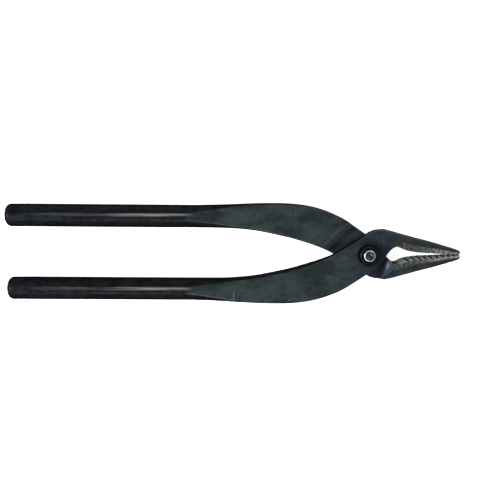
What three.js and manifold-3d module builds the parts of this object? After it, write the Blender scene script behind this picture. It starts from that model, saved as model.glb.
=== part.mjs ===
// Short riveted blacksmith tongs: two equal forged halves that cross at a lap joint and turn on one rivet.
// Millimetres. The tool lies flat: +X runs from the handles to the jaw tips, +Z up along the rivet, and the
// origin is on the rivet's axis, in the plane of the rivet head's underside that the tool rests on.

import * as THREE from "three";
import { LoftGeometry } from "three/addons/geometries/LoftGeometry.js";
import { mergeVertices } from "three/addons/utils/BufferGeometryUtils.js";
import Module from "manifold-3d";

const wasm = await Module();
wasm.setup();

// Driving dimensions
const HANDLE_END_X = -166.5;
const JAW_TIP_X = 43.5;
const ROD_RADIUS = 5.3;
const ROD_Y = 17.0; // from the tool's centre line to each round handle's own centre line
const ROD_END_ROUNDING = 2.5;
const LAP_THICKNESS = 4.8;
const LAP_GAP = 0.2; // between the two laps' bearing faces
const HEAD_RADIUS = 4.8;
const HEAD_HEIGHT = 1.2;
const HEAD_CHAMFER = 0.4;
const SHANK_RADIUS = 3.0;
const BORE_CLEARANCE = 0.08;
const NECK_RADIUS = 2.6; // the rivet's thinner end, inside the collar
const COLLAR_RADIUS = 4.85;
const COLLAR_TOP_RADIUS = 3.9;
const COLLAR_HEIGHT = 3.4;
const PIN_STAND_OUT = 0.5;
const FACE_GAP = 0.1; // between faces that meet along the rivet
const TOOTH_PITCH = 2.8;
const TOOTH_WIDTH = 1.3;
const TOOTH_DEPTH = 0.6;
const FIRST_TOOTH_X = 18.1;
const TEETH = 9;
const ROUND_SEGMENTS = 48;
const MIDDLE_Z = HEAD_HEIGHT + LAP_THICKNESS; // the plane between the halves

// The outline of one half seen from its outer face, as edges y over x. Its handle is on the -Y side and its
// jaw on the +Y side. The outer edge runs along the rein, round the lap and into the throat and the biting
// face; the inner edge runs along the rein's inside, over the lap and down the jaw's back.
const OUTER_EDGE = [
  [-80, -ROD_Y - ROD_RADIUS], [-64, -22.75], [-52, -23.25], [-42, -23.4], [-34, -23.1], [-26.5, -22.05],
  [-19, -19.95], [-12, -16.9], [-6.5, -13.45], [-2, -10.4], [0.8, -8.4], [3.2, -6.5], [5.6, -4.3],
  [7.4, -2.3], [8.4, -0.6], [9.3, 0.8], [10.4, 2.1], [11.7, 3.2], [13.2, 3.75], [14.6, 3.5], [16, 2.75],
  [18, 1.95], [20, 1.5], [24, 0.95], [30, 0.6], [36, 0.25], [JAW_TIP_X, 0.06],
];
const INNER_EDGE = [
  [-80, -ROD_Y + ROD_RADIUS], [-63, -11.6], [-53, -10.8], [-44, -9.2], [-35, -7.15], [-26, -4.5],
  [-21, -2.55], [-16, -0.1], [-11, 2.75], [-7.3, 5.15], [-4.4, 7.0], [-1.5, 8.9], [0.5, 10.25],
  [2.6, 11.25], [5.2, 11.75], [8.5, 11.5], [12, 10.65], [17, 9.3], [24, 7.45], [30, 5.95], [36, 4.25],
  [41, 2.8], [42.8, 2.1], [JAW_TIP_X, 1.5],
];
// Half the thickness between the flats, half the thickness that the flats are cut from, the rounding of the
// corners, and how far the biting side's bevel drops.
const FLAT_HALF_THICKNESS = [
  [-84, ROD_RADIUS], [-77, 4.9], [-72, 4.7], [-66, 4.45], [-58, 4.28], [-48, 4.2], [-28, 4.25], [-15, 4.5],
  [-4, LAP_THICKNESS], [12, LAP_THICKNESS], [20, 4.45], [32, 3.5], [JAW_TIP_X, 2.5],
];
const UNCUT_HALF_THICKNESS = [
  [-84, ROD_RADIUS], [-72, 5.1], [-60, 4.9], [-48, 4.5], [-28, 4.45], [-4, LAP_THICKNESS + 0.2],
  [12, LAP_THICKNESS + 0.2], [20, 4.65], [32, 3.7], [JAW_TIP_X, 2.7],
];
const CORNER_RADIUS = [
  [-84, ROD_RADIUS], [-75, 4.8], [-68, 4.0], [-60, 2.7], [-50, 1.7], [-42, 1.4], [-30, 1.2], [-10, 0.8],
  [12, 0.8], [20, 1.0], [36, 0.8], [JAW_TIP_X, 0.3],
];
const BEVEL_DROP = [
  [13, 0], [16, 0.9], [32, 0.8], [JAW_TIP_X, 0.5],
];
const BEVEL_SHARE = 0.5; // of the jaw's width

// The space that the other half sweeps through as the tongs open, with clearance, in order round its outline.
// The shoulder stands as a stop on the jaw's side, the crotch is where the reins part, and between them the
// space is round, because the other half's jaw root turns through it.
const SWEPT_SHOULDER = [[5, -14], [9.6, -14], [9.3, -2], [8.9, 0.5], [3.6, 14.7], [-24, 14.7]];
const SWEPT_CROTCH = [[-25, 5.3], [-17.3, 0.2]];
const SWEPT_RADIUS = 12.0;
const SWEPT_ARC_END = 1.45 * Math.PI;
const SCOOP_DEPTH = 4.9; // of the concave ramp from the lap's floor up to the full face
const JAW_RAMP_LENGTH = 4.9;
const REIN_RAMP_LENGTH = 7.0;
const REIN_RAMP_END_X = -2; // past it the rein's ramp would lie outside the forging
const SCOOP_STEPS = 6;

// A smooth curve y(x) through points, with the slopes of a Catmull-Rom spline, level beyond its ends.
function smoothThrough(points) {
  const last = points.length - 1;
  const slope = (i) => {
    const a = points[Math.max(i - 1, 0)];
    const b = points[Math.min(i + 1, last)];
    return (b[1] - a[1]) / (b[0] - a[0]);
  };
  return (x) => {
    if (x <= points[0][0]) return points[0][1];
    if (x >= points[last][0]) return points[last][1];
    const i = points.findIndex((p) => p[0] > x) - 1;
    const [x0, y0] = points[i];
    const [x1, y1] = points[i + 1];
    const span = x1 - x0;
    const t = (x - x0) / span;
    const rise = (y1 - y0) * t * t * (3 - 2 * t);
    return y0 + rise + span * (slope(i) * t * (1 - t) ** 2 - slope(i + 1) * t * t * (1 - t));
  };
}

const outerEdge = smoothThrough(OUTER_EDGE);
const innerEdge = smoothThrough(INNER_EDGE);
const flatHalfThickness = smoothThrough(FLAT_HALF_THICKNESS);
const uncutHalfThickness = smoothThrough(UNCUT_HALF_THICKNESS);
const cornerRadius = smoothThrough(CORNER_RADIUS);
const bevelDrop = smoothThrough(BEVEL_DROP);

// A closed mesh with only its positions, shared vertices merged, as a solid for joining and cutting.
function solidOf(geometry) {
  const bare = new THREE.BufferGeometry();
  bare.setAttribute("position", geometry.getAttribute("position"));
  bare.setIndex(geometry.index);
  const merged = mergeVertices(bare, 1e-4);
  const corners = [];
  const index = merged.index.array;
  for (let i = 0; i < index.length; i += 3) {
    const [a, b, c] = [index[i], index[i + 1], index[i + 2]];
    if (a !== b && b !== c && c !== a) corners.push(a, b, c);
  }
  const vertProperties = new Float32Array(merged.attributes.position.array);
  const mesh = new wasm.Mesh({ numProp: 3, vertProperties, triVerts: new Uint32Array(corners) });
  return new wasm.Manifold(mesh);
}

function geometryOf(solid) {
  const mesh = solid.getMesh();
  const geometry = new THREE.BufferGeometry();
  geometry.setAttribute("position", new THREE.BufferAttribute(new Float32Array(mesh.vertProperties), 3));
  geometry.setIndex(new THREE.BufferAttribute(new Uint32Array(mesh.triVerts), 1));
  geometry.computeVertexNormals();
  return geometry;
}

function named(name, geometry, colour, roughness, metalness) {
  const material = new THREE.MeshStandardMaterial({ color: colour, roughness, metalness });
  const mesh = new THREE.Mesh(geometry, material);
  mesh.name = name;
  return mesh;
}

// One cross-section of a half, counterclockwise seen from the jaw tip: a rounded rectangle between the two
// edges, cut flat above and below, its biting side bevelled on both faces.
const CORNER_STEPS = 5;
const END_STEPS = 4;
function section(x, shrink = 0) {
  const low = outerEdge(x) + shrink;
  const high = innerEdge(x) - shrink;
  const flat = flatHalfThickness(x) - shrink;
  const half = uncutHalfThickness(x) - shrink;
  const width = high - low;
  const radius = Math.min(cornerRadius(x) - shrink, 0.499 * width);
  const ridge = low + width * BEVEL_SHARE;
  const points = [];
  const corner = (cy, cz, from) => {
    for (let i = 0; i <= CORNER_STEPS; i++) {
      const angle = from + (i / CORNER_STEPS) * (Math.PI / 2);
      points.push([cy + radius * Math.cos(angle), cz + radius * Math.sin(angle)]);
    }
  };
  corner(high - radius, half - radius, 0);
  points.push([ridge, half]);
  corner(low + radius, half - radius, Math.PI / 2);
  corner(low + radius, radius - half, Math.PI);
  points.push([ridge, -half]);
  corner(high - radius, radius - half, 1.5 * Math.PI);
  return points.map(([y, z]) => {
    const drop = bevelDrop(x) * Math.max(0, (ridge - y) / (ridge - low));
    const limit = flat - drop;
    return new THREE.Vector3(x, y, THREE.MathUtils.clamp(z, -limit, limit));
  });
}

// Where the cross-sections lie: sparse along the round handle and closer where the outline turns.
function stations() {
  const found = [];
  const run = (from, to, step) => {
    const count = Math.round((to - from) / step);
    for (let i = 0; i < count; i++) found.push(from + (i * (to - from)) / count);
  };
  run(HANDLE_END_X + ROD_END_ROUNDING, -84, 40);
  run(-84, -30, 3);
  run(-30, -4, 2);
  run(-4, 18, 1);
  run(18, 40, 2.2);
  run(40, JAW_TIP_X, 0.7);
  found.push(JAW_TIP_X);
  return found;
}

function forging() {
  const sections = [];
  for (let i = END_STEPS; i > 0; i--) {
    const angle = (i / END_STEPS) * (Math.PI / 2);
    const x = HANDLE_END_X + ROD_END_ROUNDING * (1 - Math.sin(angle));
    sections.push(section(x, ROD_END_ROUNDING * (1 - Math.cos(angle))));
  }
  for (const x of stations()) sections.push(section(x));
  return solidOf(new LoftGeometry(sections, { capStart: true, capEnd: true }));
}

// What is cut away under the lap. Its rounded lower edge leaves a concave ramp of that length.
function sweptSpaceCutter(rampLength) {
  const shape = new THREE.Shape();
  shape.moveTo(...SWEPT_SHOULDER[0]);
  for (const point of SWEPT_SHOULDER.slice(1)) shape.lineTo(...point);
  for (const point of SWEPT_CROTCH) shape.lineTo(...point);
  // The round stretch starts where a line from the crotch's corner touches it.
  const [cornerX, cornerY] = SWEPT_CROTCH[1];
  const touching = Math.acos(SWEPT_RADIUS / Math.hypot(cornerX, cornerY));
  shape.absarc(0, 0, SWEPT_RADIUS, Math.atan2(cornerY, cornerX) + touching, SWEPT_ARC_END, false);
  const depth = LAP_THICKNESS;
  const geometry = new THREE.ExtrudeGeometry(shape, {
    depth,
    curveSegments: 10,
    bevelEnabled: true,
    bevelThickness: SCOOP_DEPTH,
    bevelSize: rampLength,
    bevelSegments: SCOOP_STEPS,
  });
  // The extrusion's far rounded end becomes the floor of the cut, just above the middle plane.
  geometry.translate(0, 0, LAP_GAP / 2 - SCOOP_DEPTH - depth);
  return solidOf(geometry);
}

function cylinder(radius, length) {
  const geometry = new THREE.CylinderGeometry(radius, radius, length, ROUND_SEGMENTS);
  return geometry.rotateX(Math.PI / 2);
}

function toothGrooveCutter(x) {
  const y = outerEdge(x);
  // The cutter is twice as deep as the groove, so that its open side stands clear of the biting face.
  const shape = new THREE.Shape([
    new THREE.Vector2(x - TOOTH_WIDTH, y - TOOTH_DEPTH),
    new THREE.Vector2(x + TOOTH_WIDTH, y - TOOTH_DEPTH),
    new THREE.Vector2(x, y + TOOTH_DEPTH),
  ]);
  const depth = 4 * LAP_THICKNESS;
  const geometry = new THREE.ExtrudeGeometry(shape, { depth, bevelEnabled: false });
  return solidOf(geometry.translate(0, 0, -depth / 2));
}

// One half about its middle plane, with its lap on the +Z side.
function halfGeometry() {
  let body = forging();
  body = body.subtract(sweptSpaceCutter(JAW_RAMP_LENGTH));
  body = body.subtract(sweptSpaceCutter(REIN_RAMP_LENGTH).trimByPlane([-1, 0, 0], -REIN_RAMP_END_X));
  body = body.subtract(solidOf(cylinder(SHANK_RADIUS + BORE_CLEARANCE, 4 * LAP_THICKNESS)));
  for (let i = 0; i < TEETH; i++) body = body.subtract(toothGrooveCutter(FIRST_TOOTH_X + i * TOOTH_PITCH));
  return geometryOf(body);
}

// A turned piece about +Z, from its profile of [radius, z].
function turned(profile) {
  const points = profile.map(([radius, z]) => new THREE.Vector2(radius, z));
  const lathe = new THREE.LatheGeometry(points, ROUND_SEGMENTS).rotateX(Math.PI / 2);
  return geometryOf(solidOf(lathe));
}

const SHANK_TOP_Z = MIDDLE_Z + LAP_THICKNESS + FACE_GAP;
const COLLAR_BASE_Z = SHANK_TOP_Z + FACE_GAP / 2;
const COLLAR_TOP_Z = COLLAR_BASE_Z + COLLAR_HEIGHT;
const PIN_TOP_Z = COLLAR_TOP_Z + PIN_STAND_OUT;

const PIN_CHAMFER = 0.3;
const DIMPLE_RADIUS = 1.5;
const DIMPLE_DEPTH = 0.4;
const COLLAR_STRAIGHT = 0.8; // the height of the collar's straight foot
const COLLAR_SHOULDER = 0.9; // how far below its top the collar starts to round in
const COLLAR_TAPER = 0.25;
const COLLAR_CHAMFER = 0.25;

function rivet() {
  return turned([
    [0, 0],
    [HEAD_RADIUS - HEAD_CHAMFER, 0],
    [HEAD_RADIUS, HEAD_CHAMFER],
    [HEAD_RADIUS, HEAD_HEIGHT - FACE_GAP],
    [SHANK_RADIUS, HEAD_HEIGHT - FACE_GAP],
    [SHANK_RADIUS, SHANK_TOP_Z],
    [NECK_RADIUS, SHANK_TOP_Z],
    [NECK_RADIUS, PIN_TOP_Z - PIN_CHAMFER],
    [NECK_RADIUS - PIN_CHAMFER, PIN_TOP_Z],
    [DIMPLE_RADIUS, PIN_TOP_Z],
    [0, PIN_TOP_Z - DIMPLE_DEPTH],
  ]);
}

function collar() {
  const bore = NECK_RADIUS + FACE_GAP;
  return turned([
    [bore, COLLAR_BASE_Z],
    [COLLAR_RADIUS, COLLAR_BASE_Z],
    [COLLAR_RADIUS, COLLAR_BASE_Z + COLLAR_STRAIGHT],
    [COLLAR_RADIUS - COLLAR_TAPER, COLLAR_TOP_Z - COLLAR_SHOULDER],
    [COLLAR_TOP_RADIUS + COLLAR_CHAMFER, COLLAR_TOP_Z - COLLAR_CHAMFER],
    [COLLAR_TOP_RADIUS, COLLAR_TOP_Z],
    [bore, COLLAR_TOP_Z],
    [bore, COLLAR_BASE_Z],
  ]);
}

const group = new THREE.Group();

const forgedHalf = halfGeometry();
const front = named("front_half", forgedHalf, 0x2f373b, 0.42, 0.85);
front.position.z = MIDDLE_Z;
group.add(front);

const back = named("back_half", forgedHalf, 0x2f373b, 0.42, 0.85);
back.position.z = MIDDLE_Z;
back.rotation.x = Math.PI; // turned over about the tool's long axis
group.add(back);

group.add(named("rivet", rivet(), 0x9aa3a6, 0.35, 1.0));
group.add(named("rivet_collar", collar(), 0x101014, 0.5, 0.7));

export default group;
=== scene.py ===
"""The visual model of the riveted hand tongs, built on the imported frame.

Lengths are millimetres until a mesh is made.
"""

import math

import bpy
import numpy as np
from mathutils import Matrix, Vector


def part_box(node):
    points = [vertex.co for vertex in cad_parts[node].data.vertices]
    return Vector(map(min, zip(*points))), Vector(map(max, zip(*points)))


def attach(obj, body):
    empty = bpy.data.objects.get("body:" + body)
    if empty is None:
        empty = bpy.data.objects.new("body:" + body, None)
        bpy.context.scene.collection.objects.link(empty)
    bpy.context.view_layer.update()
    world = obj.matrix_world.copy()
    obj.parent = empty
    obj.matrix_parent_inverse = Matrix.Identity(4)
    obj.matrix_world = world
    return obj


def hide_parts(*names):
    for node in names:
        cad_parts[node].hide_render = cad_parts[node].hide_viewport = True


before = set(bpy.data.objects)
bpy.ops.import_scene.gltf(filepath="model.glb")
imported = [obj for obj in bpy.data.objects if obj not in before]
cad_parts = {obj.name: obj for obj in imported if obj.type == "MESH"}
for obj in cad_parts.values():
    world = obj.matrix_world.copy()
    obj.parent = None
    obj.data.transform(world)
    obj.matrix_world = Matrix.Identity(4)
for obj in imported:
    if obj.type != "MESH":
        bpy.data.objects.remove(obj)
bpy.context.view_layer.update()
MM = 0.001


def box_mm(node):
    low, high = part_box(node)
    return [c / MM for c in low], [c / MM for c in high]


# Places on the frame
HALF_LOW, HALF_HIGH = box_mm("front_half")
HANDLE_END_X = HALF_LOW[0]
JAW_TIP_X = HALF_HIGH[0]
MIDDLE_Z = (HALF_LOW[2] + HALF_HIGH[2]) / 2
COLLAR_LOW, COLLAR_HIGH = box_mm("rivet_collar")
COLLAR_BASE_Z, COLLAR_TOP_Z = COLLAR_LOW[2], COLLAR_HIGH[2]
COLLAR_RADIUS = COLLAR_HIGH[0]
RIVET_HIGH = box_mm("rivet")[1]
HEAD_RADIUS = RIVET_HIGH[0]
PIN_TOP_Z = RIVET_HIGH[2]

# The shape of one half, in its own frame: its lap above z = 0, its handle at -Y and its jaw at +Y
ROD_RADIUS = 5.3
ROD_Y = 17.0
ROD_END_ROUNDING = 2.5
TIP_ROUNDING = 0.35
LAP_THICKNESS = 4.8
LAP_GAP = 0.2
BORE_RADIUS = 3.08
OUTER_EDGE = [
    (-80, -ROD_Y - ROD_RADIUS), (-64, -22.75), (-52, -23.25), (-42, -23.4), (-34, -23.1), (-26.5, -22.05),
    (-19, -19.95), (-12, -16.9), (-6.5, -13.45), (-2, -10.4), (0.8, -8.4), (3.2, -6.5), (5.6, -4.3),
    (7.4, -2.3), (8.4, -0.6), (9.3, 0.8), (10.4, 2.1), (11.7, 3.2), (13.2, 3.75), (14.6, 3.5), (16, 2.75),
    (18, 1.95), (20, 1.5), (24, 0.95), (30, 0.6), (36, 0.25), (43.5, 0.06),
]
INNER_EDGE = [
    (-80, -ROD_Y + ROD_RADIUS), (-63, -11.6), (-53, -10.8), (-44, -9.2), (-35, -7.15), (-26, -4.5),
    (-21, -2.55), (-16, -0.1), (-11, 2.75), (-7.3, 5.15), (-4.4, 7.0), (-1.5, 8.9), (0.5, 10.25),
    (2.6, 11.25), (5.2, 11.75), (8.5, 11.5), (12, 10.65), (17, 9.3), (24, 7.45), (30, 5.95), (36, 4.25),
    (41, 2.8), (42.8, 2.1), (43.5, 1.5),
]
FLAT_HALF_THICKNESS = [
    (-84, ROD_RADIUS), (-77, 4.9), (-72, 4.7), (-66, 4.45), (-58, 4.28), (-48, 4.2), (-28, 4.25),
    (-15, 4.5), (-4, LAP_THICKNESS), (12, LAP_THICKNESS), (20, 4.45), (32, 3.5), (43.5, 2.5),
]
UNCUT_HALF_THICKNESS = [
    (-84, ROD_RADIUS), (-72, 5.1), (-60, 4.9), (-48, 4.5), (-28, 4.45), (-4, LAP_THICKNESS + 0.2),
    (12, LAP_THICKNESS + 0.2), (20, 4.65), (32, 3.7), (43.5, 2.7),
]
CORNER_RADIUS = [
    (-84, ROD_RADIUS), (-75, 4.8), (-68, 4.0), (-60, 2.7), (-50, 1.7), (-42, 1.4), (-30, 1.2), (-10, 0.8),
    (12, 0.8), (20, 1.0), (36, 0.8), (43.5, 0.3),
]
LARGEST_CORNER = 0.499  # of the width, so that the corners of one face never meet
EDGE_ROUNDING = 0.28
FLAT_STARTS_X = (-88, -80)  # the flat faces stand clear of the round handle before this stretch
ROD_CLEARANCE = 0.5

# The bevel ground along each jaw beside its biting face, and the biting edge's chamfer
FRONT_BEVEL_START_X = 15.1
BACK_BEVEL_START_X = 12.9
BEVEL_SHARE = 0.5  # of the jaw's width
BEVEL_DROP = 0.85
BEVEL_DROP_AT_TIP = 0.5
BEVEL_NARROWS_X = (32, 43.5)
CHAMFER = 1.3  # on the side away from the half's own lap
CHAMFER_AT_TIP = 0.3  # of its full width
CHAMFER_NARROWS_X = (30, 43)

# The space cleared for the other half, with a ramp on the rein's side and a hollow on the jaw's side
SWEPT_SHOULDER = [(5, -14), (9.6, -14), (9.3, -2), (8.9, 0.5), (3.6, 14.7), (-24, 14.7)]
SWEPT_CROTCH = [(-25, 5.3), (-17.3, 0.2)]
SWEPT_RADIUS = 12.0
SWEPT_LAST_ANGLE = 1.45 * math.pi
SWEPT_ARC_POINTS = 16
RAMP_TO_HOLLOW_X = (-3, 3)
RAMP_START = -0.4
RAMP_LENGTH = 9.0
RAMP_HEIGHT = 5.2
RAMP_RUNS_ON = 0.8 * RAMP_LENGTH  # it keeps rising from here, so that it leaves the rein's face alone
RAMP_LEVELLING = 0.8  # makes the height above the slanted ramp about a distance
RAMP_ROUNDING = 2.0
SCOOP_RADIUS = 4.9
SCOOP_MIDDLE_Y = 6.6  # where the hollow at the jaw's root reaches furthest along the jaw
SCOOP_HALF_LENGTH = 4.6
SCOOP_NARROWING = 0.55
SCOOP_ROUNDING = 1.6
CRISP_Z = 1.0  # the space's edge is crisp up to this distance from the middle
SOFT_Z = 3.5  # and fully rounded from this one
BORE_ROUNDING = 0.2

# The teeth: grooves across the biting face, which lean as they rise
TOOTH_PITCH = 2.8
TOOTH_WIDTH = 1.3
TOOTH_DEPTH = 0.6
TOOTH_STEEPNESS = 2 * TOOTH_DEPTH / TOOTH_WIDTH
TOOTH_SLANT = 0.8
TOOTH_ROUNDING = 0.1
FIRST_TOOTH_X = 18.1
TEETH = 9
SHALLOW_TOOTH = 0.4  # of the full depth, at SHALLOW_TOOTH_Z on the lap's side
SHALLOW_TOOTH_Z = 3
NO_CUT = -9.0

# Forging unevenness and grinding marks: how deep, and the size of one lump along x, y and z
FORGED_X = [-95, -70, 22, 34]
FORGED_SHARE = [0.25, 1, 1, 0.2]
WAVE_DEPTH = 0.10
WAVE_SIZE = (15, 9, 6)
RIPPLE_DEPTH = 0.035
RIPPLE_SIZE = (3.7, 2.9, 3.0)
GRIND_DEPTH = 0.05
GRIND_DEPTH_ADDED_AT_TIP = 0.09
GRIND_SIZE = (0.95, 1.9, 3.0)
GRIND_SLANT = 0.35
NEAR_TIP_X = (22, 40)

# Scuffs on the front half's upper face, as (start, end, half width)
FRONT_SCUFFS = [((-61.9, -17.8), (-61.9, -21.2), 0.12), ((-36.2, -21.4), (-35.4, -21.2), 0.15)]
SCUFF_FADE = 0.2
SCUFFED_ABOVE_Z = 2

# The grid on which a half's surface is found
CELL = 0.235
GRID_HALF_WIDTH = 10.2
GRID_MARGIN_Z = 0.6
NEAR_SURFACE = 0.7


def smooth_through(points):
    """The curve y(x) through points, with the slopes of a Catmull-Rom spline, level beyond its ends."""
    px, py = np.array(points, float).T
    slope = np.gradient(py, px)
    slope[1:-1] = (py[2:] - py[:-2]) / (px[2:] - px[:-2])

    def curve(x):
        x = np.clip(x, px[0], px[-1])
        i = np.clip(np.searchsorted(px, x, side="right") - 1, 0, len(px) - 2)
        span = px[i + 1] - px[i]
        t = (x - px[i]) / span
        rise = (py[i + 1] - py[i]) * t * t * (3 - 2 * t)
        return py[i] + rise + span * (slope[i] * t * (1 - t) ** 2 - slope[i + 1] * t * t * (1 - t))

    return curve


outer_edge = smooth_through(OUTER_EDGE)
inner_edge = smooth_through(INNER_EDGE)
flat_half_thickness = smooth_through(FLAT_HALF_THICKNESS)
uncut_half_thickness = smooth_through(UNCUT_HALF_THICKNESS)
corner_radius = smooth_through(CORNER_RADIUS)


def swept_outline():
    """The outline of the space that the other half sweeps through, in order."""
    corner_x, corner_y = SWEPT_CROTCH[-1]
    first = math.atan2(corner_y, corner_x) % (2 * math.pi)
    first += math.acos(SWEPT_RADIUS / math.hypot(corner_x, corner_y))
    turns = np.linspace(first, SWEPT_LAST_ANGLE, SWEPT_ARC_POINTS)
    arc = [(SWEPT_RADIUS * math.cos(a), SWEPT_RADIUS * math.sin(a)) for a in turns]
    return SWEPT_SHOULDER + SWEPT_CROTCH + arc


def outline_distance(outline, x, y):
    """Distance from a closed outline, negative inside it."""
    nearest = np.full(np.broadcast(x, y).shape, np.inf)
    inside = np.zeros(nearest.shape, bool)
    for (ax, ay), (bx, by) in zip(outline, outline[1:] + outline[:1]):
        ex, ey = bx - ax, by - ay
        t = np.clip(((x - ax) * ex + (y - ay) * ey) / (ex * ex + ey * ey), 0, 1)
        nearest = np.minimum(nearest, np.hypot(x - ax - t * ex, y - ay - t * ey))
        if ay != by:
            crossing = (np.minimum(ay, by) <= y) & (y < np.maximum(ay, by))
            inside ^= crossing & (x < ax + (y - ay) / ey * ex)
    return np.where(inside, -nearest, nearest)


def cut(a, b, rounding):
    """The overlap of two solids given as distances, the edge between them rounded."""
    a = a + rounding
    b = b + rounding
    return np.minimum(np.maximum(a, b), 0) + np.hypot(np.maximum(a, 0), np.maximum(b, 0)) - rounding


def soft_step(x, start, end):
    """0 at start, 1 at end, with level ends. start may be the larger."""
    t = np.clip((x - start) / (end - start), 0, 1)
    return t * t * (3 - 2 * t)


class Noise:
    """Smooth value noise from 0 to 1 that repeats only far away."""

    SIZE = 32

    def __init__(self, seed):
        self.grid = np.random.default_rng(seed).random((self.SIZE,) * 3)

    def __call__(self, x, y, z, scale):
        total = 0.0
        cells, parts = [], []
        for c, s in zip((x, y, z), scale):
            c = np.asarray(c) / s + 1000.3
            cell = np.floor(c)
            t = c - cell
            parts.append(t * t * (3 - 2 * t))
            cells.append(cell.astype(int))
        for i in (0, 1):
            for j in (0, 1):
                for k in (0, 1):
                    weight = 1.0
                    for part, corner in zip(parts, (i, j, k)):
                        weight = weight * (part if corner else 1 - part)
                    total = total + weight * self.grid[
                        (cells[0] + i) % self.SIZE, (cells[1] + j) % self.SIZE, (cells[2] + k) % self.SIZE
                    ]
        return total


SWEPT_OUTLINE = swept_outline()


def ridge_y(x):
    """Where the bevel beside the biting face begins."""
    low = outer_edge(x)
    return low + (inner_edge(x) - low) * BEVEL_SHARE


def bevel_drop(x, bevel_start):
    """How far the bevel beside the biting face drops at its lower edge."""
    drop = np.interp(x, BEVEL_NARROWS_X, [BEVEL_DROP, BEVEL_DROP_AT_TIP])
    return soft_step(x, bevel_start - 0.3, bevel_start + 0.5) * drop


def chamfer_width(x, bevel_start):
    share = np.interp(x, CHAMFER_NARROWS_X, [1, CHAMFER_AT_TIP])
    return CHAMFER * share * soft_step(x, bevel_start + 1, bevel_start + 3)


def swept_space(x, y, z):
    """About the distance outside the space cleared for the other half, with its hollow and its ramp."""
    away = np.maximum(outline_distance(SWEPT_OUTLINE, x, y), 0)
    height = z - LAP_GAP / 2
    reach = 1 - SCOOP_NARROWING * np.clip(np.abs(y - SCOOP_MIDDLE_Y) / SCOOP_HALF_LENGTH, 0, 1) ** 2
    hollow = np.hypot(away / reach, np.maximum(height + SCOOP_RADIUS, 0)) - SCOOP_RADIUS
    rise = RAMP_HEIGHT * soft_step(away, RAMP_START, RAMP_LENGTH) + np.maximum(0, away - RAMP_RUNS_ON)
    ramp = (height + rise) * RAMP_LEVELLING
    share = soft_step(x, *RAMP_TO_HOLLOW_X)
    return hollow * share + ramp * (1 - share)


def from_groove(x, y):
    """Distance along the jaw from the middle of the nearest tooth groove."""
    along = x - TOOTH_SLANT * (y - outer_edge(x)) - FIRST_TOOTH_X + TOOTH_PITCH / 2
    return np.abs(along % TOOTH_PITCH - TOOTH_PITCH / 2)


def forged_bar(x, y, z):
    """About the distance from the bar before anything is ground or cut, negative inside."""
    low, high = outer_edge(x), inner_edge(x)
    width = high - low
    radius = np.minimum(corner_radius(x), LARGEST_CORNER * width)
    side = np.abs(y - (low + high) / 2) - width / 2 + radius
    face = np.abs(z) - uncut_half_thickness(x) + radius
    beyond = np.hypot(np.maximum(side, 0), np.maximum(face, 0))
    return beyond + np.minimum(np.maximum(side, face), 0) - radius


def flat_faces(x, y, z, bevel_start):
    """About the distance outside the two flat faces, with the bevel and the biting edge's chamfer."""
    low, ridge = outer_edge(x), ridge_y(x)
    drop = bevel_drop(x, bevel_start) * np.maximum(0, (ridge - y) / (ridge - low))
    drop = drop + np.where(z < 0, np.maximum(0, chamfer_width(x, bevel_start) - (y - low)), 0)
    clear_of_rod = np.interp(x, FLAT_STARTS_X, [ROD_CLEARANCE, 0])
    return np.abs(z) - flat_half_thickness(x) - clear_of_rod + drop


def tooth_grooves(x, y, z):
    """About the depth inside the nearest tooth groove, negative outside all of them."""
    depth = TOOTH_DEPTH * np.interp(z, [0, SHALLOW_TOOTH_Z], [1, SHALLOW_TOOTH])
    bottom = outer_edge(x) + depth - from_groove(x, y) * TOOTH_STEEPNESS
    inside = (bottom - y) / math.hypot(TOOTH_STEEPNESS, 1 + TOOTH_SLANT * TOOTH_STEEPNESS)
    toothed = (x > FIRST_TOOTH_X - TOOTH_PITCH / 2) & (x < FIRST_TOOTH_X + (TEETH - 0.5) * TOOTH_PITCH)
    return np.where(toothed, inside, NO_CUT)


def plain_half(x, y, z, bevel_start):
    """About the distance from one half's surface before its unevenness, negative inside."""
    f = cut(forged_bar(x, y, z), flat_faces(x, y, z, bevel_start), EDGE_ROUNDING)
    rounding = RAMP_ROUNDING + (SCOOP_ROUNDING - RAMP_ROUNDING) * soft_step(x, *RAMP_TO_HOLLOW_X)
    rounding = EDGE_ROUNDING + (rounding - EDGE_ROUNDING) * soft_step(np.abs(z), CRISP_Z, SOFT_Z)
    f = cut(f, -swept_space(x, y, z), rounding)
    f = cut(f, BORE_RADIUS - np.hypot(x, y), BORE_ROUNDING)
    f = cut(f, tooth_grooves(x, y, z), TOOTH_ROUNDING)
    f = cut(f, HANDLE_END_X - x, ROD_END_ROUNDING)
    return cut(f, x - JAW_TIP_X, TIP_ROUNDING)


def ground_band(x, y, bevel_start):
    """1 on the ground bevel beside the biting face, 0 elsewhere."""
    return soft_step(x, bevel_start - 0.3, bevel_start + 0.4) * soft_step(ridge_y(x) - y, -0.1, 0.25)


def unevenness(noise, x, y, z, bevel_start):
    """How far the real surface lies inside the plain one."""
    forged = np.interp(x, FORGED_X, FORGED_SHARE)
    waves = WAVE_DEPTH * forged * noise(x, y, z, WAVE_SIZE)
    ripples = RIPPLE_DEPTH * forged * noise(x, y, z, RIPPLE_SIZE)
    band = ground_band(x, y, bevel_start) * soft_step(y - outer_edge(x), 0.2, 0.8)
    depth = GRIND_DEPTH + GRIND_DEPTH_ADDED_AT_TIP * soft_step(x, *NEAR_TIP_X)
    marks = band * depth * noise(x + GRIND_SLANT * y, y, z, GRIND_SIZE)
    return waves + ripples + marks


def grid_runs(*runs):
    """Grid coordinates from runs of (start, end, step)."""
    found = []
    for start, end, step in runs:
        found.extend(np.linspace(start, end, round((end - start) / step), endpoint=False))
    return np.array(found + [runs[-1][1]])


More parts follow.
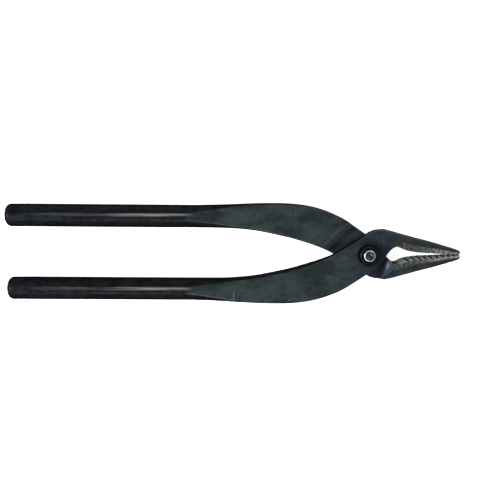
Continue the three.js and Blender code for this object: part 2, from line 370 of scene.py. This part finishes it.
def half_grid():
    """Grid coordinates of one half: x along it, y across from its centre line, z."""
    after_end = HANDLE_END_X + 3.3
    xs = grid_runs(
        (HANDLE_END_X - 0.3, after_end, 0.24), (after_end, -86, 1.6), (-86, -62.6, 0.75),
        (-62.6, -61.2, 0.2), (-61.2, -37, 0.75), (-37, -18, 0.4), (-18, JAW_TIP_X + 0.5, 0.22),
    )
    ys = np.arange(-GRID_HALF_WIDTH, GRID_HALF_WIDTH, CELL)
    zs = np.arange(-ROD_RADIUS - GRID_MARGIN_Z, ROD_RADIUS + GRID_MARGIN_Z, CELL)
    return xs, ys, zs


def surface_nets(f, place):
    """Vertices and quads of the surface where f is 0 on a grid. place(i, j, k) gives the grid's points."""
    inside = f < 0
    cell_ids, points, flips = [], [], []
    for axis in range(3):
        first = [slice(None)] * 3
        second = [slice(None)] * 3
        first[axis], second[axis] = slice(None, -1), slice(1, None)
        crossed = np.array(np.nonzero(inside[tuple(first)] != inside[tuple(second)]))
        step = np.zeros((3, 1), int)
        step[axis] = 1
        far = crossed + step
        fa, fb = f[tuple(crossed)], f[tuple(far)]
        t = (fa / (fa - fb))[:, None]
        points.append(place(*crossed) * (1 - t) + place(*far) * t)
        u, v = [(1, 2), (2, 0), (0, 1)][axis]
        round_edge = []
        for du, dv in ((-1, -1), (0, -1), (0, 0), (-1, 0)):
            cell = crossed.copy()
            cell[u] += du
            cell[v] += dv
            round_edge.append(np.ravel_multi_index(tuple(cell), f.shape))
        cell_ids.append(np.stack(round_edge, axis=1))
        flips.append(fa > 0)
    cell_ids = np.concatenate(cell_ids)
    points = np.concatenate(points)
    flips = np.concatenate(flips)
    index = np.unique(cell_ids, return_inverse=True)[1]
    quads = index.reshape(cell_ids.shape)
    corners = quads.ravel()
    sums = [np.bincount(corners, weights=np.repeat(points[:, c], 4)) for c in range(3)]
    quads[flips] = quads[flips][:, ::-1]
    return np.stack(sums, axis=1) / np.bincount(corners)[:, None], quads


def settled(verts, field):
    """The vertices moved one step along the slope of a field, onto its zero."""
    small = 0.02
    furthest = 0.08
    value = field(verts)
    slope = np.stack([(field(verts + small * axis) - value) / small for axis in np.eye(3)], axis=1)
    steep = np.maximum((slope**2).sum(axis=1), 0.25)
    move = np.clip(-value / steep, -furthest, furthest)
    return verts + move[:, None] * slope


def half_surface(seed, bevel_start):
    """One half's surface as vertices and quads, in its own frame."""
    noise = Noise(seed)
    xs, ys, zs = half_grid()
    centre = (outer_edge(xs) + inner_edge(xs)) / 2
    sheared_ys = centre[:, None] + ys[None, :]
    f = plain_half(xs[:, None, None], sheared_ys[:, :, None], zs[None, None, :], bevel_start)
    i, j, k = np.nonzero(np.abs(f) < NEAR_SURFACE)
    f[i, j, k] += unevenness(noise, xs[i], sheared_ys[i, j], zs[k], bevel_start)

    def place(i, j, k):
        return np.stack([xs[i], sheared_ys[i, j], zs[k]], axis=1)

    def whole(p):
        x, y, z = p.T
        return plain_half(x, y, z, bevel_start) + unevenness(noise, x, y, z, bevel_start)

    verts, quads = surface_nets(f, place)
    return settled(verts, whole), quads


# Meshes and their masks
def mesh_object(name, verts, faces, material):
    """A smooth-shaded object from vertices in millimetres and lists of their numbers."""
    mesh = bpy.data.meshes.new(name)
    mesh.from_pydata((np.asarray(verts) * MM).tolist(), [], faces)
    mesh.validate()
    mesh.update()
    mesh.shade_smooth()
    mesh.materials.append(material)
    piece = bpy.data.objects.new(name, mesh)
    bpy.context.scene.collection.objects.link(piece)
    return piece


def add_mask(mesh, name, values):
    """A float per vertex for the material to read."""
    layer = mesh.attributes.new(name, "FLOAT", "POINT")
    layer.data.foreach_set("value", np.asarray(values, np.float32))


def vertex_values(mesh, name):
    """One (x, y, z) per vertex: its place, "co", or its "normal"."""
    values = np.empty(len(mesh.vertices) * 3)
    mesh.vertices.foreach_get(name, values)
    return values.reshape(-1, 3)


def bend_mask(mesh, spread):
    """How strongly the surface bends at each vertex, per millimetre.

    It is above 0 on outer edges and below 0 in hollows. spread is how often neighbours are blended.
    """
    count = len(mesh.vertices)
    at = vertex_values(mesh, "co") / MM
    normal = vertex_values(mesh, "normal")
    ends = np.empty(len(mesh.edges) * 2, int)
    mesh.edges.foreach_get("vertices", ends)
    a, b = ends.reshape(-1, 2).T
    along = at[b] - at[a]
    bend = ((normal[b] - normal[a]) * along).sum(axis=1) / np.maximum((along**2).sum(axis=1), 0.01)
    degree = np.bincount(a, minlength=count) + np.bincount(b, minlength=count)
    value = (np.bincount(a, bend, count) + np.bincount(b, bend, count)) / np.maximum(degree, 1)
    for _ in range(spread):
        around = np.bincount(a, value[b], count) + np.bincount(b, value[a], count)
        value = 0.4 * value + 0.6 * around / np.maximum(degree, 1)
    return value


# Materials
class Nodes:
    """Short ways to build one material's nodes."""

    def __init__(self, name):
        self.material = bpy.data.materials.new(name)
        self.material.use_nodes = True
        self.tree = self.material.node_tree
        self.shader = self.tree.nodes["Principled BSDF"]

    def make(self, kind, inputs=(), **settings):
        node = self.tree.nodes.new(kind)
        for key, value in settings.items():
            setattr(node, key, value)
        for key, value in dict(inputs).items():
            self.put(value, node.inputs[key])
        return node

    def put(self, value, socket):
        if isinstance(value, bpy.types.NodeSocket):
            self.tree.links.new(value, socket)
        else:
            socket.default_value = value

    def mask(self, name):
        return self.make("ShaderNodeAttribute", attribute_name=name).outputs["Fac"]

    def place(self, scale=(1, 1, 1)):
        """The object's own coordinates in millimetres, each divided by scale."""
        own = self.make("ShaderNodeTexCoord").outputs["Object"]
        factors = tuple(1 / (MM * s) for s in scale)
        return self.make("ShaderNodeVectorMath", {0: own, 1: factors}, operation="MULTIPLY").outputs[0]

    def noise(self, scale, detail=3.0, roughness=0.55, offset=0.0):
        vector = self.place(scale)
        shifted = self.make("ShaderNodeVectorMath", {0: vector, 1: (offset, offset * 1.7, offset * 0.3)})
        inputs = {"Vector": shifted.outputs[0], "Scale": 1.0, "Detail": detail, "Roughness": roughness}
        return self.make("ShaderNodeTexNoise", inputs).outputs["Fac"]

    def math(self, operation, a, b=0.0, c=0.0):
        return self.make("ShaderNodeMath", {0: a, 1: b, 2: c}, operation=operation).outputs[0]

    def times(self, a, b):
        return self.math("MULTIPLY", a, b)

    def scaled(self, value, scale, added):
        return self.math("MULTIPLY_ADD", value, scale, added)

    def step(self, value, start, end, low=0.0, high=1.0):
        inputs = {"Value": value, "From Min": start, "From Max": end, "To Min": low, "To Max": high}
        return self.make("ShaderNodeMapRange", inputs, interpolation_type="SMOOTHSTEP").outputs[0]

    def blend(self, share, a, b):
        node = self.make("ShaderNodeMix", data_type="RGBA")
        self.put(share, node.inputs["Factor"])
        self.put(colour(a), node.inputs[6])
        self.put(colour(b), node.inputs[7])
        return node.outputs[2]

    def bump(self, height, distance_mm, strength=1.0, normal=None):
        inputs = {"Height": height, "Distance": distance_mm * MM, "Strength": strength}
        if normal is not None:
            inputs["Normal"] = normal
        return self.make("ShaderNodeBump", inputs).outputs["Normal"]


    def finish(self, base, roughness, normal, metallic, edge_tint=None):
        """The material, with its inputs joined. edge_tint dims its reflection at grazing angles."""
        self.put(base, self.shader.inputs["Base Color"])
        self.put(roughness, self.shader.inputs["Roughness"])
        self.put(normal, self.shader.inputs["Normal"])
        self.put(metallic, self.shader.inputs["Metallic"])
        if edge_tint is not None:
            self.put((edge_tint, edge_tint, edge_tint, 1), self.shader.inputs["Specular Tint"])
        return self.material


def colour(value):
    """A socket as it is, or linear numbers as a colour."""
    if isinstance(value, bpy.types.NodeSocket):
        return value
    return (*value, 1.0)


def shade(value, factor):
    return [c * factor for c in value]


ROD_BLACK = (0.010, 0.011, 0.013)
REIN_GREY = (0.037, 0.048, 0.048)
HEAD_GREY = (0.026, 0.034, 0.045)
JAW_GREY = (0.038, 0.043, 0.044)
GROUND_GREY = (0.072, 0.074, 0.073)
TIP_GREY = (0.42, 0.42, 0.40)
LAND_GREY = (0.36, 0.36, 0.35)
SCOOP_GREY = (0.090, 0.110, 0.135)
BARE_STEEL = (0.42, 0.43, 0.43)
# the streak along the handles' tops: worn steel, and partly a painted highlight
RUB_AND_HIGHLIGHT_STEEL = (0.30, 0.285, 0.25)
# black for the tooth grooves, and for the painted shade in hollows and at the foot of the jaw-root hollow
HOLLOW_BLACK = (0.010, 0.011, 0.014)

# The size of one lump of each pattern, along x, y and z
PATCH_SIZE = (17, 8, 8)
CLOUD_SIZE = (3.6, 2.8, 2.8)
GRAIN_SIZE = (0.40, 0.34, 0.34)
STREAK_SIZE = (9.0, 0.28, 0.28)
MARK_SIZE = (0.55, 1.3, 1.3)
NICK_SIZE = (0.35, 6.0, 6.0)
RUB_AND_HIGHLIGHT_SIZE = (16, 0.6, 0.6)


def face_colour(n, large, cloud, speck, nicks):
    """The flattened faces: mottled rein, bluer head, browner jaw, with specks and short nicks."""
    patch = n.step(large, 0.38, 0.62)
    rein = n.blend(patch, shade(REIN_GREY, 0.62), shade(REIN_GREY, 1.15))
    head = n.blend(patch, shade(HEAD_GREY, 0.65), shade(HEAD_GREY, 1.2))
    jaw = n.blend(patch, shade(JAW_GREY, 0.8), shade(JAW_GREY, 1.2))
    face = n.blend(n.mask("head"), rein, head)
    face = n.blend(n.mask("jaw"), face, jaw)
    face = n.blend(n.times(n.step(cloud, 0.48, 0.66), 0.5), face, shade(HEAD_GREY, 0.4))
    face = n.blend(n.times(speck, 0.40), face, shade(REIN_GREY, 2.3))
    scratch = n.times(n.step(nicks, 0.72, 0.77), n.step(large, 0.45, 0.6))
    return n.blend(n.times(scratch, 0.55), face, shade(BARE_STEEL, 0.4))


def rod_colour(n, cloud, speck):
    """The round handles: black, mottled, with a few specks."""
    rod = n.blend(n.step(cloud, 0.42, 0.62), shade(ROD_BLACK, 1.15), shade(ROD_BLACK, 0.6))
    return n.blend(n.times(speck, 0.2), rod, shade(ROD_BLACK, 3.0))


def ground_colour(n, marks):
    """The rough-ground bevel, brighter toward the tip, and the lands between the tooth grooves."""
    mark = n.step(marks, 0.38, 0.66)
    bevel = n.blend(mark, shade(GROUND_GREY, 0.45), shade(GROUND_GREY, 1.35))
    bevel = n.blend(n.mask("tip"), bevel, n.blend(mark, shade(GROUND_GREY, 0.6), TIP_GREY))
    return bevel, n.blend(mark, shade(LAND_GREY, 0.6), LAND_GREY)


def wear_and_highlight(n, base, flat, cloud, offset):
    """The base colour with bare outer edges, and a streak along the tops of the round handles that is
    partly worn by rubbing and partly a painted highlight.
    """
    edge = n.times(n.step(n.mask("bend"), 0.45, 1.5), n.step(cloud, 0.32, 0.62))
    base = n.blend(n.times(edge, n.scaled(flat, 0.25, 0.06)), base, BARE_STEEL)
    # the streak along the handles' tops: worn steel, and partly a painted highlight
    patchy = n.step(n.noise(RUB_AND_HIGHLIGHT_SIZE, 3.0, 0.6, offset), 0.3, 0.6)
    return n.blend(n.times(n.times(n.mask("rubbed_and_highlight"), patchy), 0.7), base, RUB_AND_HIGHLIGHT_STEEL)


def oxide_steel(name, offset):
    """Black-oxide forging: dark round handles, greyer flats, rough-ground bevels and edges worn bare, with
    painted shade in its hollows and a painted highlight along the handles' worn tops.
    """
    n = Nodes(name)
    large = n.noise(PATCH_SIZE, 3.0, 0.55, offset)
    cloud = n.noise(CLOUD_SIZE, 5.0, 0.62, offset + 3)
    grain = n.noise(GRAIN_SIZE, 4.0, 0.7, offset + 7)
    streak = n.noise(STREAK_SIZE, 3.0, 0.6, offset + 11)
    marks = n.noise(MARK_SIZE, 4.0, 0.7, offset + 15)
    nicks = n.noise(NICK_SIZE, 2.0, 0.5, offset + 19)
    speck = n.step(grain, 0.52, 0.72)
    flat, ground, scoop = n.mask("flat"), n.mask("ground"), n.mask("scoop")

    base = n.blend(flat, rod_colour(n, cloud, speck), face_colour(n, large, cloud, speck, nicks))
    base = n.blend(scoop, base, SCOOP_GREY)
    # painted shade: the foot of the hollow at the jaw's root, beside the other half, is darkened toward
    # black
    base = n.blend(n.times(n.mask("trough_shade"), 0.8), base, HOLLOW_BLACK)
    scuff = n.times(n.mask("mark"), n.step(grain, 0.35, 0.6, 0.25, 0.7))
    base = n.blend(scuff, base, shade(BARE_STEEL, 0.55))
    bevel, land = ground_colour(n, marks)
    base = n.blend(ground, base, bevel)
    base = n.blend(n.mask("biting"), base, land)
    base = n.blend(n.mask("groove"), base, HOLLOW_BLACK)
    # painted shade: where the surface bends inward it is darkened halfway toward black, less on the ramp
    # and not at all on the cleared hollow
    hollow = n.times(n.step(n.mask("bend"), -0.02, -0.35), n.scaled(scoop, -0.5, 0.5))
    base = n.blend(hollow, base, HOLLOW_BLACK)
    base = wear_and_highlight(n, base, flat, cloud, offset)

    rough = n.scaled(cloud, 0.20, 0.26)
    rough = n.scaled(ground, 0.12, rough)
    rough = n.scaled(speck, 0.06, rough)
    normal = n.bump(grain, 0.03, 0.7)
    normal = n.bump(streak, 0.012, 0.5, normal)
    normal = n.bump(n.times(marks, ground), 0.12, 0.9, normal)
    n.shader.inputs["Specular IOR Level"].default_value = 0.0
    return n.finish(base, rough, normal, 0.55, 0.06)


PIN_GREY = (0.17, 0.18, 0.185)
PIN_BRIGHT = (0.27, 0.285, 0.29)
PIN_EDGE = (0.72, 0.74, 0.75)
DIMPLE_GREY = (0.050, 0.055, 0.055)
SHANK_GREY = (0.045, 0.05, 0.055)


def pin_steel(name):
    """Bare rivet steel, bright where it was peened, dull below."""
    n = Nodes(name)
    cloud = n.noise((1.1, 1.1, 1.1), 4.0, 0.6)
    base = n.blend(n.step(cloud, 0.35, 0.7), PIN_GREY, PIN_BRIGHT)
    base = n.blend(n.step(n.mask("bend"), 0.2, 1.2), base, PIN_EDGE)
    base = n.blend(n.mask("dimple"), base, DIMPLE_GREY)
    base = n.blend(n.mask("bright"), SHANK_GREY, base)
    normal = n.bump(n.noise((0.3, 0.3, 0.3), 3.0), 0.03, 0.6)
    return n.finish(base, n.scaled(cloud, 0.2, 0.22), normal, 1.0)


COLLAR_BLACK = (0.008, 0.008, 0.011)
COLLAR_GREY = (0.022, 0.022, 0.028)
COLLAR_WORN = (0.20, 0.21, 0.22)


def collar_black(name):
    """Black-oxide collar, rubbed grey along its upper edge."""
    n = Nodes(name)
    cloud = n.noise((1.6, 1.6, 1.6), 4.0, 0.6, 5.0)
    turned = n.noise((2.5, 2.5, 0.12), 2.0, 0.5, 2.0)
    base = n.blend(n.step(cloud, 0.35, 0.7), COLLAR_BLACK, COLLAR_GREY)
    rubbed_edge = n.times(n.step(n.mask("bend"), 0.6, 2.2), n.step(cloud, 0.3, 0.6, 0.1, 0.5))
    base = n.blend(rubbed_edge, base, COLLAR_WORN)
    normal = n.bump(turned, 0.012, 0.5)
    normal = n.bump(n.noise((0.35, 0.35, 0.35), 3.0), 0.02, 0.5, normal)
    return n.finish(base, n.scaled(cloud, 0.2, 0.34), normal, 1.0, 0.03)


# The two halves
RUB_AND_HIGHLIGHT_Y = 0.8  # the streak worn by rubbing, partly a painted highlight, lies this far to +Y of the handle's middle
FACE_TILT = (0.76, 0.95)  # how squarely a face points up or down where its grey begins, and is full
HEAD_FACE_TILT = (0.45, 0.8)  # the same on the head and the jaw


def rubbed_and_highlight(x, y, z):
    """Where the round handle's top is worn bright by rubbing and carries a painted highlight streak, most
    of all just before it flattens.
    """
    side = np.abs(y - np.sign(y) * ROD_Y - RUB_AND_HIGHLIGHT_Y)
    along = soft_step(x, -160, -140) * (0.2 + 0.8 * soft_step(x, -124, -106)) * soft_step(x, -79, -87)
    return along * soft_step(side, 1.0, 0.25) * (z > MIDDLE_Z)


def scuffed(strokes, x, y, z):
    """Where strokes scuff the half's upper face."""
    depth = np.zeros(len(x))
    for (ax, ay), (bx, by), half_width in strokes:
        ex, ey = bx - ax, by - ay
        t = np.clip(((x - ax) * ex + (y - ay) * ey) / (ex * ex + ey * ey), 0, 1)
        distance = np.hypot(x - ax - t * ex, y - ay - t * ey)
        depth = np.maximum(depth, soft_step(distance, half_width + SCUFF_FADE, half_width))
    return depth * (z > SCUFFED_ABOVE_Z)


def flat_mask(x, z, facing):
    """1 on the flattened faces: a pointed tongue on each round handle, then most of the rein's width."""
    tongue = soft_step(np.abs(z) - flat_half_thickness(x), -0.36, -0.2) * soft_step(x, -85, -82)
    level = soft_step(facing, *FACE_TILT)
    level = level + (soft_step(facing, *HEAD_FACE_TILT) - level) * soft_step(x, -32, -24)
    return tongue + (level - tongue) * soft_step(x, -64, -50)


def half_masks(x, y, z, facing, bevel_start, strokes):
    """The masks of one half, in its own frame. facing is how squarely each vertex faces up or down."""
    above_edge = y - outer_edge(x)
    chamfer = np.where(z < 0, chamfer_width(x, bevel_start), 0.25)
    biting = soft_step(x, bevel_start, bevel_start + 1) * soft_step(chamfer + 0.2 - above_edge, 0, 0.25)
    groove = soft_step(from_groove(x, y), TOOTH_WIDTH * 0.5, TOOTH_WIDTH * 0.25)
    on_cut = soft_step(np.abs(swept_space(x, y, z)), 0.35, 0.15)
    on_ramp = on_cut * soft_step(x, 0, -4) * soft_step(z, -0.4, -1.5) * soft_step(z, -4.2, -3.0)
    on_scoop = on_cut * soft_step(x, 4, 6)
    deep = soft_step(z, LAP_GAP / 2 - 0.3, -1.0)
    away = outline_distance(SWEPT_OUTLINE, x, y)
    return {
        "flat": flat_mask(x, z, facing),
        "head": soft_step(x, -14, 2),
        "jaw": soft_step(x, 8, 16),
        "tip": soft_step(x, 20, JAW_TIP_X),
        "biting": biting,
        "groove": groove * biting * soft_step(x, FIRST_TOOTH_X - 1.5, FIRST_TOOTH_X - 1),
        "ground": ground_band(x, y, bevel_start) * soft_step(facing, 0.5, 0.8),
        "scoop": on_scoop * deep + 0.45 * on_ramp,
        # painted shade at the foot of the hollow at the jaw's root, beside the other half
        "trough_shade": on_scoop * soft_step(away, -0.8, 0.3) * (1 - deep),
        "mark": scuffed(strokes, x, y, z),
    }


def forged_half(name, seed, bevel_start, turned_over, body, strokes):
    """One half, on its body. It is turned over about X to make the back half."""
    verts, quads = half_surface(seed, bevel_start)
    x, y, z = verts.T
    if turned_over:
        world = np.stack([x, -y, MIDDLE_Z - z], axis=1)
    else:
        world = np.stack([x, y, MIDDLE_Z + z], axis=1)
    piece = mesh_object(name, world, quads.tolist(), oxide_steel(name + "_oxide", seed * 1.3))
    facing = np.abs(vertex_values(piece.data, "normal")[:, 2])
    add_mask(piece.data, "bend", bend_mask(piece.data, 2))
    add_mask(piece.data, "rubbed_and_highlight", rubbed_and_highlight(*world.T))
    for mask, values in half_masks(x, y, z, facing, bevel_start, strokes).items():
        add_mask(piece.data, mask, values)
    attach(piece, body)
    return piece


front = forged_half("front_half_forging", 3, FRONT_BEVEL_START_X, False, "front", FRONT_SCUFFS)
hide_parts("front_half")
back = forged_half("back_half_forging", 8, BACK_BEVEL_START_X, True, "back", [])
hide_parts("back_half")


# The turned pieces
SEGMENTS = 96  # round a turned piece
CORNER_STEPS = 5


def rounded_profile(corners):
    """The (radius, z) points of a profile given as (radius, z, rounding) corners."""
    points = [np.array(corners[0][:2], float)]
    for before, here, after in zip(corners, corners[1:], corners[2:]):
        at = np.array(here[:2], float)
        to_before = np.array(before[:2], float) - at
        to_after = np.array(after[:2], float) - at
        reach = here[2]
        start = at + to_before / np.linalg.norm(to_before) * reach
        end = at + to_after / np.linalg.norm(to_after) * reach
        for t in np.linspace(0, 1, CORNER_STEPS + 1):
            points.append((1 - t) ** 2 * start + 2 * t * (1 - t) * at + t * t * end)
    points.append(np.array(corners[-1][:2], float))
    return np.array(points)


def fine_profile(points, step):
    """The profile with extra points so that none is further than step from the next."""
    found = [points[0]]
    for a, b in zip(points, points[1:]):
        count = max(1, math.ceil(np.linalg.norm(b - a) / step))
        found.extend(a + (b - a) * i / count for i in range(1, count + 1))
    return np.array(found)


def turned_piece(name, corners, material, closed, step):
    """A piece turned about the rivet's axis. Its profile is closed, or open from the axis to the axis."""
    profile = fine_profile(rounded_profile(corners), step)
    if closed:
        profile = profile[:-1]
    else:
        profile = profile[1:-1]
    angles = np.linspace(0, 2 * math.pi, SEGMENTS, endpoint=False)
    radius = profile[:, :1]
    height = np.repeat(profile[:, 1:], SEGMENTS, axis=1)
    verts = np.stack([radius * np.cos(angles), radius * np.sin(angles), height], axis=2).reshape(-1, 3)
    rings = len(profile)
    faces = []
    for i in range(rings if closed else rings - 1):
        a, b = i * SEGMENTS, (i + 1) % rings * SEGMENTS
        for j in range(SEGMENTS):
            k = (j + 1) % SEGMENTS
            faces.append((a + j, a + k, b + k, b + j))
    if not closed:
        first, last = len(verts), len(verts) + 1
        verts = np.concatenate([verts, [[0, 0, corners[0][1]], [0, 0, corners[-1][1]]]])
        top = (rings - 1) * SEGMENTS
        for j in range(SEGMENTS):
            k = (j + 1) % SEGMENTS
            faces.append((first, k, j))
            faces.append((last, top + j, top + k))
    return mesh_object(name, verts, faces, material)


SHANK_RADIUS = 3.0
NECK_RADIUS = 2.6
FACE_GAP = 0.1
HEAD_TOP_Z = MIDDLE_Z - LAP_THICKNESS - FACE_GAP
SHANK_TOP_Z = MIDDLE_Z + LAP_THICKNESS + FACE_GAP
DIMPLE_RADIUS = 1.7
DIMPLE_DEPTH = 0.34
DIMPLE_SQUARENESS = 0.10
DIMPLE_MASK_SQUARENESS = 0.08
COARSE_LUMP = 0.9
FINE_LUMP = 0.45
RIM_LUMP = 1.3


def peened(at):
    """Places on the pin with its peening marks: an uneven rim and a four-sided hollow in the bright end."""
    noise = Noise(21)
    x, y, z = at.T
    end = soft_step(z, PIN_TOP_Z - 0.5, PIN_TOP_Z - 0.1)
    hollow_radius = DIMPLE_RADIUS * (1 + DIMPLE_SQUARENESS * np.cos(4 * np.arctan2(y, x)))
    hollow = DIMPLE_DEPTH * (1 - soft_step(np.hypot(x, y) / hollow_radius, 0.25, 1.0))
    lumps = 0.05 * noise(x, y, z, (COARSE_LUMP,) * 3) + 0.03 * noise(x, y, z, (FINE_LUMP,) * 3)
    z = z - end * (hollow + lumps)
    shrink = 1 - end * 0.03 * noise(x, y, z, (RIM_LUMP,) * 3)
    return np.stack([x * shrink, y * shrink, z], axis=1)


pin = turned_piece(
    "rivet_pin",
    [
        (0, 0, 0), (HEAD_RADIUS, 0, 0.45), (HEAD_RADIUS, HEAD_TOP_Z, 0.12),
        (SHANK_RADIUS, HEAD_TOP_Z, 0.1), (SHANK_RADIUS, SHANK_TOP_Z, 0.15),
        (NECK_RADIUS, SHANK_TOP_Z, 0.1), (NECK_RADIUS, PIN_TOP_Z, 0.35), (0, PIN_TOP_Z, 0),
    ],
    pin_steel("peened_rivet_steel"), closed=False, step=0.14,
)
pin.data.vertices.foreach_set("co", (peened(vertex_values(pin.data, "co") / MM) * MM).ravel())
pin.data.update()
pin_x, pin_y, pin_z = (vertex_values(pin.data, "co") / MM).T
pin_square = 1 + DIMPLE_MASK_SQUARENESS * np.cos(4 * np.arctan2(pin_y, pin_x))
add_mask(pin.data, "bend", bend_mask(pin.data, 1))
add_mask(pin.data, "dimple", soft_step(np.hypot(pin_x, pin_y) * pin_square, 1.95, 1.6))
add_mask(pin.data, "bright", soft_step(pin_z, COLLAR_TOP_Z - 0.5, COLLAR_TOP_Z))
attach(pin, "back")
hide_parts("rivet")

COLLAR_TOP_RADIUS = 3.9
COLLAR_BORE = NECK_RADIUS + 0.06
COLLAR_SEAM_Z = COLLAR_BASE_Z + 0.5  # where the closed profile starts and ends
collar = turned_piece(
    "collar_ring",
    [
        (COLLAR_BORE, COLLAR_SEAM_Z, 0), (COLLAR_BORE, COLLAR_BASE_Z, 0.1),
        (COLLAR_RADIUS, COLLAR_BASE_Z, 0.15), (COLLAR_RADIUS, COLLAR_BASE_Z + 0.9, 0.2),
        (COLLAR_RADIUS - 0.3, COLLAR_TOP_Z - 1.0, 0.3), (COLLAR_TOP_RADIUS, COLLAR_TOP_Z, 0.35),
        (COLLAR_BORE, COLLAR_TOP_Z, 0.12), (COLLAR_BORE, COLLAR_SEAM_Z, 0),
    ],
    collar_black("collar_oxide"), closed=True, step=0.2,
)
add_mask(collar.data, "bend", bend_mask(collar.data, 1))
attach(collar, "back")
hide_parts("rivet_collar")


# Floor and lamps, in metres, and the camera
FLOOR_HALF = 4.0
ROOM_LOW = (0.15, (0.98, 0.98, 0.98, 1))  # the room's colour below this height of a direction
ROOM_HIGH = (0.75, (0.30, 0.31, 0.32, 1))  # and above this one
COOL_WHITE = (0.90, 0.96, 1.0)
SENSOR_WIDTH = 36


def plain_floor():
    """A white floor that glows a little, so that it stays white beside the dark tool."""
    mesh = bpy.data.meshes.new("floor")
    corners = [(-1, -1), (1, -1), (1, 1), (-1, 1)]
    mesh.from_pydata([(x * FLOOR_HALF, y * FLOOR_HALF, 0) for x, y in corners], [], [(0, 1, 2, 3)])
    n = Nodes("floor_white")
    n.shader.inputs["Base Color"].default_value = (0.86, 0.86, 0.86, 1)
    n.shader.inputs["Roughness"].default_value = 0.9
    n.shader.inputs["Specular IOR Level"].default_value = 0.1
    n.shader.inputs["Emission Color"].default_value = (1, 1, 1, 1)
    n.shader.inputs["Emission Strength"].default_value = 0.85
    mesh.materials.append(n.material)
    floor = bpy.data.objects.new("floor", mesh)
    bpy.context.scene.collection.objects.link(floor)


def studio_world():
    """A white room with a grey ceiling."""
    world = bpy.data.worlds.new("studio")
    bpy.context.scene.world = world
    world.use_nodes = True
    nodes, links = world.node_tree.nodes, world.node_tree.links
    direction = nodes.new("ShaderNodeTexCoord").outputs["Generated"]
    parts = nodes.new("ShaderNodeSeparateXYZ")
    links.new(direction, parts.inputs[0])
    ramp = nodes.new("ShaderNodeValToRGB")
    for element, (position, shade_of_grey) in zip(ramp.color_ramp.elements, (ROOM_LOW, ROOM_HIGH)):
        element.position = position
        element.color = shade_of_grey
    links.new(parts.outputs["Z"], ramp.inputs["Fac"])
    links.new(ramp.outputs["Color"], nodes["Background"].inputs["Color"])
    nodes["Background"].inputs["Strength"].default_value = 1.0


def softbox(name, place, aim, size, power, tint=(1, 1, 1)):
    """A rectangular lamp of a size in metres and a power in watts."""
    light = bpy.data.lights.new(name, "AREA")
    light.shape = "RECTANGLE"
    light.size, light.size_y = size
    light.energy = power
    light.color = tint
    lamp = bpy.data.objects.new(name, light)
    bpy.context.scene.collection.objects.link(lamp)
    lamp.location = place
    lamp.rotation_euler = (Vector(aim) - Vector(place)).to_track_quat("-Z", "Y").to_euler()


def camera(place, target, roll_degrees, across):
    """A camera at a place in millimetres, whose view is across millimetres wide at the target."""
    data = bpy.data.cameras.new("camera")
    cam = bpy.data.objects.new("camera", data)
    bpy.context.scene.collection.objects.link(cam)
    place, target = Vector(place) * MM, Vector(target) * MM
    back = (place - target).normalized()
    right = Vector((0, 1, 0)).cross(back).normalized()
    up = back.cross(right)
    turn = math.radians(roll_degrees)
    rolled_right = right * math.cos(turn) + up * math.sin(turn)
    rolled_up = up * math.cos(turn) - right * math.sin(turn)
    axes = [(*axis, 0) for axis in (rolled_right, rolled_up, back)]
    cam.matrix_world = Matrix([*axes, (*place, 1)]).transposed()
    data.sensor_width = SENSOR_WIDTH
    data.lens = SENSOR_WIDTH * (place - target).length / (across * MM)
    data.clip_start, data.clip_end = 0.01, 20
    bpy.context.scene.camera = cam


plain_floor()
studio_world()
softbox("key", (-0.62, -0.05, 0.55), (0, 0, 0), (0.35, 0.35), 7, COOL_WHITE)
softbox("strip", (-0.28, -0.62, 0.72), (-0.28, 0, 0), (0.55, 0.07), 3)
softbox("fill", (0.45, 0.55, 0.65), (-0.03, 0, 0), (0.5, 0.5), 2.5)
bpy.context.scene.view_settings.view_transform = "Standard"
camera((-60, 38.5, 306), (-54.4, 1.42, MIDDLE_Z), 0.5, 233.1)

bpy.context.view_layer.update()
